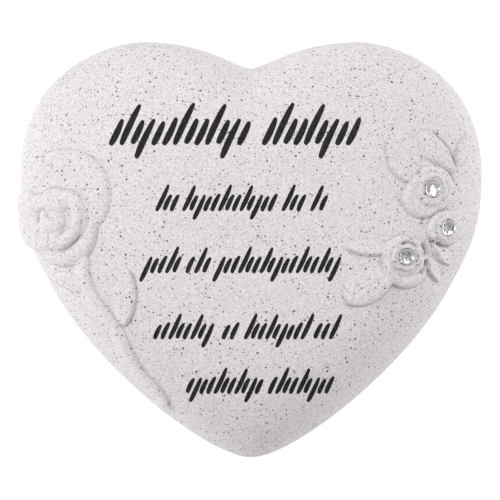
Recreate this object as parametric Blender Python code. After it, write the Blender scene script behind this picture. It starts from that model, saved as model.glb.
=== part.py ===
"""Heart-shaped memorial stone.

A domed heart cast in speckled stone lies on its flat back. A long-stemmed rose is carved along the left edge
and a spray of three small roses with leaves along the right edge. Each small rose holds a crystal in a round
seat. Five rows of slanted strokes are cut into the face between them.
X runs across the heart, Y from its tip to its lobes, Z up out of its face.
"""

import math

import bmesh
import bpy
import numpy as np
from mathutils import Matrix, Vector
from mathutils.geometry import interpolate_bezier

MM = 0.001

# Heart
STONE_WIDTH = 200 * MM
STONE_LENGTH = 180 * MM
STONE_THICKNESS = 55 * MM
WIDEST_HEIGHT = 12 * MM
BACK_INSET = 5.5 * MM
BELLY_HEIGHT = 4.5 * MM
BELLY_INSET = 1.6 * MM


def from_left(inset, up):
    """Place on the face, in millimetres in from the heart's left edge and up from its middle."""
    return inset * MM - STONE_WIDTH / 2, up * MM


def from_right(inset, up):
    """Place on the face, in millimetres in from the heart's right edge and up from its middle."""
    return STONE_WIDTH / 2 - inset * MM, up * MM


# Outline of the right half, from the cleft over the lobe and the flank to the tip
CLEFT_Y = 78.5 * MM
CLEFT_ROUNDING = 6 * MM
LOBE_TOP_X = 46.3 * MM
LOBE_INNER_HANDLE = 27 * MM
LOBE_OUTER_HANDLE = 13.5 * MM
WIDEST_Y = 32.3 * MM
SHOULDER_HANDLE = 47 * MM
HIP_HANDLE = 23 * MM
FLANK_POINT = from_right(14.7, -17.6)
FLANK_DIRECTION = math.radians(-118.7)
FLANK_UPPER_HANDLE = 19.8 * MM
FLANK_LOWER_HANDLE = 38.3 * MM
TIP_ROUNDING = 18 * MM

# Dome
DOME_FALL = 2.8
DOME_EDGE = 2.1
CROWN_WIDTH = 200 * MM
CROWN_LENGTH = 184 * MM
HEART_SHARE = 3.0

# Mesh of the face
FACE_CELLS = 30
EDGE_CROWDING = 1.9
CARVED_CUTS = 7
FACE_TRIANGLES = 5300
CARVED_MARGIN = 5.0 * MM
MARGIN_STEPS = 7

# Crystals and their seats
CRYSTAL_RADIUS = 3.5 * MM
CRYSTAL_TABLE_RADIUS = 1.9 * MM
CRYSTAL_BACK_RADIUS = 2.2 * MM
CRYSTAL_BACK_DEPTH = 1.0 * MM
CRYSTAL_GIRDLE = 0.3 * MM
CRYSTAL_CROWN = 1.4 * MM
CRYSTAL_SIDES = 12
SEAT_CLEARANCE = 0.3 * MM
SEAT_RADIUS = CRYSTAL_RADIUS + SEAT_CLEARANCE
SEAT_DEPTH = CRYSTAL_BACK_DEPTH + SEAT_CLEARANCE
SEAT_BRIM = 0.5 * MM
SEAT_CUTTER_RISE = 2 * MM

# Carving
CARVING_LIFT = 2 * MM
FADE_TOP = 20 * MM
FADE_BOTTOM = 2 * MM

# Petals: a fan's squareness and rounding, an oval's roundness, where hollows end, and how rims roll over
FAN_SQUARENESS = 3.2
FAN_ROUNDING = 0.42
FAN_HOLLOW = 0.55
FAN_HOLLOW_END = 0.40
FAN_RIM = 0.72
OVAL_ROUNDNESS = 2.1
OVAL_HOLLOW_END = 0.35
ROLL_FULLNESS = 2.2

BIG_ROSE_CENTRE = from_left(14.8, 13.2)
BIG_ROSE_REACH = 31 * MM
BIG_ROSE_HEIGHT = 5.2 * MM
# Middle across and up, half length and half width as shares of the reach, turn in degrees,
# height as a share of the rose's own, hollow, and where the rim starts to roll
BIG_ROSE_PETALS = (
    (0.154, 0.333, 0.638, 0.638, 0, 0.37, 0.55, 0.78),
    (0.138, -0.125, 0.471, 0.548, 0, 0.49, 0.52, 0.74),
    (0.144, -0.022, 0.439, 0.304, 72, 0.80, 0.60, 0.68),
    (-0.362, 0.208, 0.167, 0.208, 0, 0.69, 1.00, 0.40),
    (-0.154, -0.054, 0.362, 0.417, 0, 0.75, 0.86, 0.62),
    (0.054, 0.244, 0.237, 0.189, -10, 0.85, 1.00, 0.30),
    (0.042, -0.054, 0.167, 0.167, 0, 0.94, 1.00, 0.25),
)

STEM_POINTS = (
    from_left(27.7, -4.5),
    from_left(28.1, -10.9),
    from_left(29.8, -17.8),
    from_left(33.7, -23.8),
    from_left(38.9, -29.8),
    from_left(42.8, -35.4),
    from_left(45.3, -41.9),
    from_left(48.8, -48.8),
    from_left(53.5, -55.7),
    from_left(58.3, -60.8),
    from_left(62.6, -66.4),
)
STEM_RADIUS = 2.3 * MM
STEM_END_RADIUS = 1.6 * MM
STEM_BLEND = 6.5 * MM
STEM_HEIGHT = 1.9 * MM
STEM_SPAN_POINTS = 4

# Base, tip, width, height, bend as a share of the length, where the leaf is broadest, how pointed it is, and
# how much it tilts: from -1, where its right edge stands up, to 1, where its left edge does
LEAVES = (
    (from_left(44.0, -34.2), from_left(46.2, -7.9), 10.8 * MM, 2.7 * MM, 0.00, 0.50, 0.60, -0.8),
    (from_left(28.6, -17.8), from_left(11.8, -12.6), 7.5 * MM, 1.3 * MM, -0.08, 0.40, 0.70, 0.0),
    (from_right(11.6, 31.8), from_right(25.8, 52.0), 9.0 * MM, 3.0 * MM, 0.00, 0.50, 0.60, -0.7),
    (from_right(10.2, 36.0), from_right(5.2, 50.5), 6.0 * MM, 1.6 * MM, 0.00, 0.40, 0.70, 0.5),
    (from_right(29.6, 29.2), from_right(41.1, 48.0), 9.6 * MM, 2.7 * MM, 0.04, 0.42, 0.60, 0.8),
    (from_right(21.4, 1.6), from_right(13.0, -7.2), 5.5 * MM, 2.0 * MM, 0.00, 0.40, 0.75, -0.7),
    (from_right(23.8, -3.0), from_right(17.8, -14.4), 5.4 * MM, 2.2 * MM, 0.00, 0.50, 0.65, -0.7),
    (from_right(37.0, -8.6), from_right(60.1, -21.4), 14.5 * MM, 3.0 * MM, 0.00, 0.58, 0.48, 0.7),
    (from_right(39.4, 0.6), from_right(59.0, 1.3), 7.4 * MM, 2.4 * MM, 0.00, 0.50, 0.60, 0.8),
)
LEAF_FOOT = 0.12
LEAF_END = 0.94
LEAF_FULLNESS = 4
LEAF_VEINS = 5
VEIN_SHARE = 0.06
VEIN_SLANT = 0.7
VEIN_START = 0.1
VEIN_FULL = 0.4
RIB_WIDTH = 0.5 * MM
RIB_SHARE = 0.13

# Name, centre, reach, height and turn in degrees of each small rose
SMALL_ROSES = (
    ("upper", from_right(22.7, 25.8), 10.6 * MM, 3.6 * MM, 20),
    ("middle", from_right(15.7, 9.4), 8.1 * MM, 3.2 * MM, 60),
    ("lower", from_right(33.9, -3.0), 9.8 * MM, 4.0 * MM, 250),
)
SMALL_ROSE_PETALS = 5
# Reach and height as shares of the rose's own, turn as a share of a petal, half spread of a petal in degrees
SMALL_ROSE_RINGS = (
    (1.00, 0.62, 0.0, 62),
    (0.70, 1.00, 0.5, 60),
)
# How far the petals stray from an even ring, in degrees and as a share, and how the strays follow each other
TURN_STRAY = 11
TURN_STRAY_STEP = 3.1
REACH_STRAY = 0.05
REACH_STRAY_STEP = 2.3
ROSE_HEART_RADIUS = SEAT_RADIUS + SEAT_BRIM
ROSE_HEART_EDGE = 0.9 * MM
ROSE_HEART_SHARE = 0.80

# Middle, half length, half width, turn in degrees and height of each petal that stands out from its rose
LOOSE_PETALS = (
    (from_right(25.8, 22.8), 9.4 * MM, 9.0 * MM, 40, 2.2 * MM),
    (from_right(33.8, -7.4), 9.9 * MM, 9.2 * MM, -20, 2.7 * MM),
)
LOOSE_PETAL_HOLLOW = 0.6
LOOSE_PETAL_RIM = 0.7

# Inscription: rows of separate slanted strokes
STROKE_LEAN = math.radians(25)
STROKE_DEPTH = 0.7 * MM
STROKE_FLOOR_SHARE = 0.8
STROKE_CUTTER_RISE = 1.2 * MM
STROKE_SIDES = 6
# Lower and upper end of each stroke in turn, as shares of the row's stroke height
STROKE_ENDS = (
    (0.0, 1.0), (0.0, 1.55), (0.05, 0.95), (-0.5, 1.0),
    (0.0, 0.9), (0.0, 1.05), (0.0, 1.6), (0.05, 1.0),
)
# Base line, stroke height, stroke width and pitch of each row, then where each group starts and ends
ROWS = (
    (44.5 * MM, 11.5 * MM, 2.8 * MM, 4.6 * MM, ((-59.8 * MM, -0.4 * MM), (5.6 * MM, 45.9 * MM))),
    (16.3 * MM, 7.2 * MM, 2.0 * MM, 3.05 * MM,
     ((-40.3 * MM, -30.8 * MM), (-28.8 * MM, 10.8 * MM), (13.4 * MM, 23.2 * MM), (25.3 * MM, 32.9 * MM))),
    (-10.1 * MM, 7.2 * MM, 2.0 * MM, 3.05 * MM,
     ((-45.5 * MM, -29.9 * MM), (-27.5 * MM, -16.9 * MM), (-14.3 * MM, 38.0 * MM))),
    (-38.3 * MM, 7.0 * MM, 2.0 * MM, 3.05 * MM,
     ((-41.2 * MM, -16.0 * MM), (-12.1 * MM, -5.2 * MM), (-2.6 * MM, 24.6 * MM), (27.0 * MM, 36.8 * MM))),
    (-61.7 * MM, 7.2 * MM, 2.0 * MM, 3.05 * MM, ((-27.3 * MM, 5.2 * MM), (7.8 * MM, 35.1 * MM))),
)

OUTLINE_STEPS = 48
SLOPE_STEP = 0.5 * MM
SHARP_ANGLE = math.radians(40)


def clear_scene():
    for item in list(bpy.data.objects):
        bpy.data.objects.remove(item, do_unlink=True)


def new_material(name, colour, roughness, transmission=0.0):
    material = bpy.data.materials.new(name)
    material.use_nodes = True
    shader = material.node_tree.nodes["Principled BSDF"]
    shader.inputs["Base Color"].default_value = colour
    shader.inputs["Roughness"].default_value = roughness
    shader.inputs["Metallic"].default_value = 0.0
    shader.inputs["Transmission Weight"].default_value = transmission
    return material


def new_collection(name):
    collection = bpy.data.collections.new(name)
    bpy.context.scene.collection.children.link(collection)
    return collection


def new_object(name, bm, collection, material=None):
    mesh = bpy.data.meshes.new(name)
    bm.to_mesh(mesh)
    bm.free()
    mesh.shade_smooth()
    mesh.set_sharp_from_angle(angle=SHARP_ANGLE)
    item = bpy.data.objects.new(name, mesh)
    collection.objects.link(item)
    if material:
        mesh.materials.append(material)
    return item


def cut(target, cutter):
    cutter.hide_render = True
    cutter.display_type = "WIRE"
    boolean = target.modifiers.new("Cut " + cutter.name, "BOOLEAN")
    boolean.operation = "DIFFERENCE"
    boolean.solver = "EXACT"
    boolean.object = cutter


def thin(target, triangles):
    """Fewer triangles, kept where the surface bends."""
    decimate = target.modifiers.new("Thin the mesh", "DECIMATE")
    decimate.ratio = triangles / len(target.data.polygons)


def ease(start, end, value):
    share = np.clip((value - start) / (end - start), 0, 1)
    return share * share * (3 - 2 * share)


def half_outline():
    """Right half of the heart's outline, from the cleft down to the tip."""
    top = STONE_LENGTH / 2
    wide = STONE_WIDTH / 2
    flank = Vector(FLANK_POINT)
    along = Vector((math.cos(FLANK_DIRECTION), math.sin(FLANK_DIRECTION)))
    spans = (
        ((0, CLEFT_Y), (CLEFT_ROUNDING, CLEFT_Y), (LOBE_TOP_X - LOBE_INNER_HANDLE, top), (LOBE_TOP_X, top)),
        ((LOBE_TOP_X, top), (LOBE_TOP_X + LOBE_OUTER_HANDLE, top),
         (wide, WIDEST_Y + SHOULDER_HANDLE), (wide, WIDEST_Y)),
        ((wide, WIDEST_Y), (wide, WIDEST_Y - HIP_HANDLE), flank - along * FLANK_UPPER_HANDLE, flank),
        (flank, flank + along * FLANK_LOWER_HANDLE, (TIP_ROUNDING, -top), (0, -top)),
    )
    points = []
    for start, leave, arrive, end in spans:
        curve = interpolate_bezier(Vector(start), Vector(leave), Vector(arrive), Vector(end), OUTLINE_STEPS)
        points.extend(curve if not points else curve[1:])
    return np.array([(point.x, point.y) for point in points])


HALF_OUTLINE = half_outline()
OUTLINE_ANGLES = np.arctan2(HALF_OUTLINE[:, 1], HALF_OUTLINE[:, 0])[::-1]
OUTLINE_REACHES = np.hypot(HALF_OUTLINE[:, 0], HALF_OUTLINE[:, 1])[::-1]


def outline_reach(angle):
    """Distance from the centre to the outline, the left half mirroring the right one."""
    folded = np.arctan2(np.sin(angle), np.abs(np.cos(angle)))
    return np.interp(folded, OUTLINE_ANGLES, OUTLINE_REACHES)


def dome_height(x, y):
    """Height of the smooth face: oval round the crown, heart-shaped at the edge."""
    distance = np.hypot(x, y)
    angle = np.arctan2(y, x)
    heart = outline_reach(angle)
    crown = 1 / np.hypot(np.cos(angle) * 2 / CROWN_WIDTH, np.sin(angle) * 2 / CROWN_LENGTH)
    share = np.clip(distance / heart, 0, 1)
    reach = crown + (heart - crown) * share ** HEART_SHARE
    fall = np.clip(distance / reach, 0, 1) ** DOME_FALL
    return WIDEST_HEIGHT + (STONE_THICKNESS - WIDEST_HEIGHT) * (1 - fall) ** (1 / DOME_EDGE)


def dome_normal(x, y):
    step = SLOPE_STEP
    slope_x = (dome_height(x + step, y) - dome_height(x - step, y)) / (2 * step)
    slope_y = (dome_height(x, y + step) - dome_height(x, y - step)) / (2 * step)
    return Vector((-slope_x, -slope_y, 1)).normalized()


def petal_height(along, height, hollow, hollow_end, rim):
    """Height on the way from a petal's middle to its edge: hollow, rising to the rim, then rolling over."""
    rise = hollow + (1 - hollow) * ease(hollow_end, rim, along)
    roll = np.clip((along - rim) / (1 - rim), 0, 1)
    return np.where(along < 1, height * rise * np.sqrt(1 - roll ** ROLL_FULLNESS), 0)


def fan_petal(distance, angle, direction, spread, reach, height):
    """Petal that fans out from its rose's heart."""
    turn = (angle - math.radians(direction) + math.pi) % (2 * math.pi) - math.pi
    side = np.clip(np.abs(turn) / math.radians(spread), 0, 1)
    edge = reach * (1 - side ** FAN_SQUARENESS) ** FAN_ROUNDING
    return petal_height(distance / np.maximum(edge, 1e-6), height, FAN_HOLLOW, FAN_HOLLOW_END, FAN_RIM)


def oval_petal(across, up, length, width, turn, height, hollow, rim):
    """Petal seen from above; with a hollow of 1 it is a smooth bud."""
    turned = math.radians(turn)
    long_way = np.abs(across * math.cos(turned) + up * math.sin(turned)) / length
    short_way = np.abs(up * math.cos(turned) - across * math.sin(turned)) / width
    along = (long_way ** OVAL_ROUNDNESS + short_way ** OVAL_ROUNDNESS) ** (1 / OVAL_ROUNDNESS)
    return petal_height(along, height, hollow, OVAL_HOLLOW_END, rim)


def big_rose(x, y):
    """Rose seen half from the side: each higher petal leaves only a crescent of the lower ones."""
    across = (x - BIG_ROSE_CENTRE[0]) / BIG_ROSE_REACH
    up = (y - BIG_ROSE_CENTRE[1]) / BIG_ROSE_REACH
    height = np.zeros_like(x)
    for right, above, length, width, turn, lift, hollow, rim in BIG_ROSE_PETALS:
        one = oval_petal(across - right, up - above, length, width, turn, lift * BIG_ROSE_HEIGHT, hollow, rim)
        height = np.maximum(height, one)
    return height


def small_rose(x, y, centre, reach, height, turn):
    """Outer ring and inner ring of petals round a flat heart that takes the crystal's seat."""
    across = x - centre[0]
    up = y - centre[1]
    distance = np.hypot(across, up)
    angle = np.arctan2(up, across)
    total = np.zeros_like(x)
    for size, lift, shift, spread in SMALL_ROSE_RINGS:
        for index in range(SMALL_ROSE_PETALS):
            stray = TURN_STRAY * math.sin(TURN_STRAY_STEP * index + turn)
            direction = turn + 360 * (index + shift) / SMALL_ROSE_PETALS + stray
            edge = reach * size * (1 + REACH_STRAY * math.sin(REACH_STRAY_STEP * index + turn))
            total = np.maximum(total, fan_petal(distance, angle, direction, spread, edge, height * lift))
    heart = ease(ROSE_HEART_RADIUS + ROSE_HEART_EDGE, ROSE_HEART_RADIUS, distance)
    return total + (height * ROSE_HEART_SHARE - total) * heart


def leaf(x, y, base, tip, width, height, bend, broadest, pointed, tilt):
    """Leaf with a groove along its midrib and slanting side veins."""
    length = math.hypot(tip[0] - base[0], tip[1] - base[1])
    run_x = (tip[0] - base[0]) / length
    run_y = (tip[1] - base[1]) / length
    along = ((x - base[0]) * run_x + (y - base[1]) * run_y) / length
    inside = np.clip(along, 0, 1)
    across = (y - base[1]) * run_x - (x - base[0]) * run_y - bend * length * 4 * inside * (1 - inside)
    swell = math.log(0.5) / math.log(broadest)
    half = np.maximum(width / 2 * np.sin(math.pi * inside ** swell) ** pointed, 1e-6)
    side = np.clip(np.abs(across) / half, 0, 1)
    lean = (1 + tilt * np.sign(across) * side) / (1 + abs(tilt))
    body = np.sqrt(1 - side ** LEAF_FULLNESS) * lean * ease(0, LEAF_FOOT, along) * ease(1, LEAF_END, along)
    wave = np.sin(2 * math.pi * LEAF_VEINS * (inside - VEIN_SLANT * side * half / length))
    veins = 1 - VEIN_SHARE * (1 + wave) * ease(VEIN_START, VEIN_FULL, side)
    rib = 1 - RIB_SHARE * np.exp(-(across / RIB_WIDTH) ** 2)
    return height * body * veins * rib


def stem_route():
    """Smooth line through the stem's points."""
    points = [Vector(point) for point in STEM_POINTS]
    line = []
    for index in range(len(points) - 1):
        before = points[max(index - 1, 0)]
        start = points[index]
        end = points[index + 1]
        after = points[min(index + 2, len(points) - 1)]
        leave = start + (end - before) / 6
        arrive = end - (after - start) / 6
        curve = interpolate_bezier(start, leave, arrive, end, STEM_SPAN_POINTS)
        line.extend(curve if not line else curve[1:])
    return line


STEM_ROUTE = stem_route()


def stem(x, y):
    """Stem that falls steeply on its right and melts into the stone on its other side."""
    nearest = np.full_like(x, 1.0)
    reached = np.zeros_like(x)
    steep_side = np.zeros(x.shape, bool)
    last = len(STEM_ROUTE) - 1
    for index in range(last):
        start = STEM_ROUTE[index]
        run = STEM_ROUTE[index + 1] - start
        share = np.clip(((x - start.x) * run.x + (y - start.y) * run.y) / run.length_squared, 0, 1)
        distance = np.hypot(x - start.x - share * run.x, y - start.y - share * run.y)
        closer = distance < nearest
        nearest = np.where(closer, distance, nearest)
        reached = np.where(closer, (index + share) / last, reached)
        steep_side = np.where(closer, (x - start.x) * run.y < (y - start.y) * run.x, steep_side)
    radius = STEM_RADIUS + (STEM_END_RADIUS - STEM_RADIUS) * reached
    steep = np.sqrt(1 - np.clip(nearest / radius, 0, 1) ** ROLL_FULLNESS)
    gentle = 1 - ease(0, STEM_BLEND, nearest)
    return STEM_HEIGHT * radius / STEM_RADIUS * np.where(steep_side, steep, gentle)


def carving(x, y):
    """Height of all the carving above the smooth face."""
    height = stem(x, y)
    for base, tip, width, lift, bend, broadest, pointed, tilt in LEAVES:
        height = np.maximum(height, leaf(x, y, base, tip, width, lift, bend, broadest, pointed, tilt))
    height = np.maximum(height, big_rose(x, y))
    for middle, length, width, turn, lift in LOOSE_PETALS:
        one = oval_petal(x - middle[0], y - middle[1], length, width, turn, lift,
                         LOOSE_PETAL_HOLLOW, LOOSE_PETAL_RIM)
        height = np.maximum(height, one)
    for _, centre, reach, lift, turn in SMALL_ROSES:
        rose = small_rose(x, y, centre, reach, lift, turn)
        inside = np.hypot(x - centre[0], y - centre[1]) < ROSE_HEART_RADIUS + ROSE_HEART_EDGE
        height = np.where(inside, rose, np.maximum(height, rose))
    return height


def near_carving(x, y):
    near = np.zeros(x.shape, bool)
    steps = np.linspace(-CARVED_MARGIN, CARVED_MARGIN, MARGIN_STEPS)
    for right in steps:
        for up in steps:
            near |= carving(x + right, y + up) > 0
    return near


def spread_square(u, v):
    """Spreads the square from -1 to 1 over the heart, its rings closer together towards the outline."""
    share = np.maximum(np.abs(u), np.abs(v))
    safe = np.maximum(share, 1e-9)
    beside = np.where(u < 0, math.pi, 0) + math.pi / 4 * v / np.where(u < 0, -safe, safe)
    above = np.where(v < 0, -math.pi / 2, math.pi / 2) - math.pi / 4 * u / np.where(v < 0, -safe, safe)
    angle = np.where(np.abs(u) > np.abs(v), beside, above)
    distance = (1 - (1 - np.clip(share, 0, 1)) ** EDGE_CROWDING) * outline_reach(angle)
    return distance * np.cos(angle), distance * np.sin(angle)


def stone_body():
    """Square grid spread over the heart, finer where it is carved, closed by a belly and a flat back."""
    bm = bmesh.new()
    bmesh.ops.create_grid(bm, x_segments=FACE_CELLS, y_segments=FACE_CELLS, size=1)
    middles = np.array([face.calc_center_median() for face in bm.faces])
    carved = near_carving(*spread_square(middles[:, 0], middles[:, 1]))
    for face, wanted in zip(bm.faces, carved):
        face.select_set(bool(wanted))
    fine_edges = [edge for edge in bm.edges if edge.select]
    bmesh.ops.subdivide_edges(bm, edges=fine_edges, cuts=CARVED_CUTS, use_grid_fill=True)
    corners = np.array([vert.co for vert in bm.verts])
    across, up = spread_square(corners[:, 0], corners[:, 1])
    for vert, x, y, z in zip(bm.verts, across, up, dome_height(across, up)):
        vert.co = (x, y, z)

    rim = [edge for edge in bm.edges if edge.is_boundary]
    for height, inset in ((BELLY_HEIGHT, BELLY_INSET), (0, BACK_INSET)):
        grown = bmesh.ops.extrude_edge_only(bm, edges=rim)["geom"]
        rim = [item for item in grown if isinstance(item, bmesh.types.BMEdge)]
        for vert in {vert for edge in rim for vert in edge.verts}:
            angle = math.atan2(vert.co.y, vert.co.x)
            distance = float(outline_reach(angle)) - inset
            vert.co = (distance * math.cos(angle), distance * math.sin(angle), height)
    bmesh.ops.contextual_create(bm, geom=rim)
    bmesh.ops.recalc_face_normals(bm, faces=bm.faces)

    bm.normal_update()
    spots = np.array([vert.co for vert in bm.verts])
    normals = np.array([vert.normal for vert in bm.verts])
    lifted = spots + normals * CARVING_LIFT
    heights = carving(lifted[:, 0], lifted[:, 1]) * ease(FADE_BOTTOM, FADE_TOP, spots[:, 2])
    for vert, height, normal in zip(list(bm.verts), heights, normals):
        vert.co += Vector(normal) * float(height)
    bmesh.ops.triangulate(bm, faces=bm.faces)
    return bm


def seat_frame(centre, height):
    """Place and direction of a small rose's heart: Z out of the stone, its origin on the heart's flat."""
    outward = dome_normal(*centre)
    x = centre[0] - CARVING_LIFT * outward.x
    y = centre[1] - CARVING_LIFT * outward.y
    outward = dome_normal(x, y)
    place = Vector((x, y, float(dome_height(x, y)))) + outward * height * ROSE_HEART_SHARE
    return Matrix.Translation(place) @ outward.to_track_quat("Z", "Y").to_matrix().to_4x4()


def add_cylinder(bm, frame, radius, low, high, sides):
    middle = frame @ Matrix.Translation((0, 0, (low + high) / 2))
    bmesh.ops.create_cone(bm, cap_ends=True, segments=sides, radius1=radius, radius2=radius, depth=high - low,
                          matrix=middle)


def crystal_body(frame):
    """Flat-backed cut crystal: backward taper, thin girdle, crown up to a flat table."""
    bm = bmesh.new()
    made = bmesh.ops.create_circle(bm, cap_ends=True, segments=CRYSTAL_SIDES, radius=CRYSTAL_BACK_RADIUS,
                                   matrix=Matrix.Translation((0, 0, -CRYSTAL_BACK_DEPTH)))
    rim = list({edge for vert in made["verts"] for edge in vert.link_edges})
    profile = (
        (CRYSTAL_RADIUS, CRYSTAL_BACK_DEPTH),
        (CRYSTAL_RADIUS, CRYSTAL_GIRDLE),
        (CRYSTAL_TABLE_RADIUS, CRYSTAL_CROWN),
    )
    level = -CRYSTAL_BACK_DEPTH
    for radius, rise in profile:
        grown = bmesh.ops.extrude_edge_only(bm, edges=rim)["geom"]
        rim = [item for item in grown if isinstance(item, bmesh.types.BMEdge)]
        level += rise
        for vert in {vert for edge in rim for vert in edge.verts}:
            flat = vert.co.to_2d().normalized() * radius
            vert.co = (flat.x, flat.y, level)
    bmesh.ops.contextual_create(bm, geom=rim)
    bmesh.ops.recalc_face_normals(bm, faces=bm.faces)
    bmesh.ops.transform(bm, matrix=frame, verts=bm.verts)
    return bm


def add_stroke(bm, x, base, low, high, width):
    """Tapered six-sided bit laid over the face at one stroke, its ends split so that they bend with it."""
    length = (high - low) / math.cos(STROKE_LEAN)
    middle_y = base + (low + high) / 2
    middle_x = x + math.tan(STROKE_LEAN) * (middle_y - base)
    top_share = 1 + (1 - STROKE_FLOOR_SHARE) * STROKE_CUTTER_RISE / STROKE_DEPTH
    place = (
        Matrix.Translation((middle_x, middle_y, (STROKE_CUTTER_RISE - STROKE_DEPTH) / 2))
        @ Matrix.Rotation(-STROKE_LEAN, 4, "Z")
        @ Matrix.Diagonal((width / 2 / math.cos(math.pi / STROKE_SIDES), length / 2, 1, 1))
    )
    made = bmesh.ops.create_cone(bm, cap_ends=True, segments=STROKE_SIDES, radius1=STROKE_FLOOR_SHARE,
                                 radius2=top_share, depth=STROKE_DEPTH + STROKE_CUTTER_RISE, matrix=place)
    bit = made["verts"]
    for end in (bit[0::2], bit[1::2]):
        for left, right in ((1, 5), (2, 4)):
            bmesh.ops.connect_vert_pair(bm, verts=[end[left], end[right]])
    for vert in bit:
        vert.co.z += float(dome_height(vert.co.x, vert.co.y))


def inscription_cutter():
    bm = bmesh.new()
    count = 0
    for base, height, width, pitch, groups in ROWS:
        for start, end in groups:
            strokes = max(2, round((end - start) / pitch))
            for index in range(strokes):
                low, high = STROKE_ENDS[count % len(STROKE_ENDS)]
                x = start + (index + 0.5) * (end - start) / strokes - math.tan(STROKE_LEAN) * height / 2
                add_stroke(bm, x, base, low * height, high * height, width)
                count += 1
    return bm


def build():
    clear_scene()
    stone_material = new_material("stone", (0.70, 0.68, 0.66, 1), 0.75)
    glass_material = new_material("crystal_glass", (0.95, 0.96, 1.0, 1), 0.05, transmission=1.0)
    stone_parts = new_collection("memorial_heart_stone")
    cutters = new_collection("cutters")

    stone = new_object("heart_stone", stone_body(), stone_parts, stone_material)
    thin(stone, FACE_TRIANGLES)
    strokes = new_object("inscription_strokes", inscription_cutter(), cutters)
    cut(stone, strokes)

    seats = bmesh.new()
    for name, centre, _, height, _ in SMALL_ROSES:
        frame = seat_frame(centre, height)
        add_cylinder(seats, frame, SEAT_RADIUS, -SEAT_DEPTH, SEAT_CUTTER_RISE, 2 * CRYSTAL_SIDES)
        new_object("crystal_" + name, crystal_body(frame), stone_parts, glass_material)
    cut(stone, new_object("crystal_seats", seats, cutters))


build()
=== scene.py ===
# %% [markdown]
# # A heart-shaped memorial stone
# The real object is a domed heart cast in pale speckled stone that lies on a grave. A long-stemmed rose is
# carved along its left edge, three small roses with crystals along its right edge, and rows of black
# strokes between them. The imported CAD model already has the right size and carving, but with few faces.
# This lesson makes the same stone again with a fine mesh, fills the cut strokes with paint, cuts the
# crystals properly and gives each its finish. We start with the CAD model as a fixed frame, so that every
# new piece lands where the solid is.

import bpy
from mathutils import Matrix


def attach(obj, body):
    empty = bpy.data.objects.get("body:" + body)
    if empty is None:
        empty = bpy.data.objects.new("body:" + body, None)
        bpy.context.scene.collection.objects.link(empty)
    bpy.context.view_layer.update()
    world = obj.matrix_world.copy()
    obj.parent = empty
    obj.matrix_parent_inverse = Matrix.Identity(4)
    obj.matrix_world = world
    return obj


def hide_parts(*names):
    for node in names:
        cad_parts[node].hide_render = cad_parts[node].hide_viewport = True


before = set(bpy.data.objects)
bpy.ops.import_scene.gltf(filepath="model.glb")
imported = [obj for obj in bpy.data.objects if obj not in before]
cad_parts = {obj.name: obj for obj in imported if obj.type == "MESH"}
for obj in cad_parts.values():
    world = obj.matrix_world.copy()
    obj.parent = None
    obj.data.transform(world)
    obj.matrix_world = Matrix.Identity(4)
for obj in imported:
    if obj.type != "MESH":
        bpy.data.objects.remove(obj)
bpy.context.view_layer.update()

# %% [markdown]
# ## A few helpers
# Every piece here starts as a bmesh, Blender's editable mesh, and ends as an object that rides with the
# stone. Doing that last step in one function keeps the pieces alike: at the origin, unturned and unscaled,
# with one material each.

# %% The tools for the lesson
import math
import time

import bmesh
import bpy
import numpy as np
from mathutils import Matrix, Vector
from mathutils.geometry import interpolate_bezier

MM = 0.001
started = time.time()


def ease(start, end, value):
    """Smooth step from 0 at start to 1 at end."""
    share = np.clip((value - start) / (end - start), 0, 1)
    return share * share * (3 - 2 * share)


def corners_of(bm):
    return np.array([vert.co for vert in bm.verts])


def edges_of(extruded):
    return [item for item in extruded["geom"] if isinstance(item, bmesh.types.BMEdge)]


def new_piece(name, bm, material):
    """Closes a bmesh into an object at the origin that rides with the stone."""
    mesh = bpy.data.meshes.new(name)
    bm.to_mesh(mesh)
    bm.free()
    mesh.materials.append(material)
    piece = bpy.data.objects.new(name, mesh)
    bpy.context.scene.collection.objects.link(piece)
    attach(piece, "root")
    return piece


# %% [markdown]
# ## The heart's outline
# Half of the outline is four Bezier spans: cleft, lobe, hip and flank down to the rounded tip. The other
# half is its mirror image. A heart drawn from circles and straight lines would look stamped; Bezier handles
# let each stretch swell the way the real casting does. The curve is stored as a distance for every
# direction from the centre, which is all that the later steps need.

# %% Outline
STONE_WIDTH = 200 * MM
STONE_LENGTH = 180 * MM
CLEFT_Y = 78.5 * MM
CLEFT_ROUNDING = 6 * MM
LOBE_TOP_X = 46.3 * MM
LOBE_INNER_HANDLE = 27 * MM
LOBE_OUTER_HANDLE = 13.5 * MM
WIDEST_Y = 32.3 * MM
SHOULDER_HANDLE = 47 * MM
HIP_HANDLE = 23 * MM
FLANK_POINT = (85.3 * MM, -17.6 * MM)
FLANK_DIRECTION = math.radians(-118.7)
FLANK_UPPER_HANDLE = 19.8 * MM
FLANK_LOWER_HANDLE = 38.3 * MM
TIP_ROUNDING = 18 * MM
OUTLINE_STEPS = 160


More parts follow.
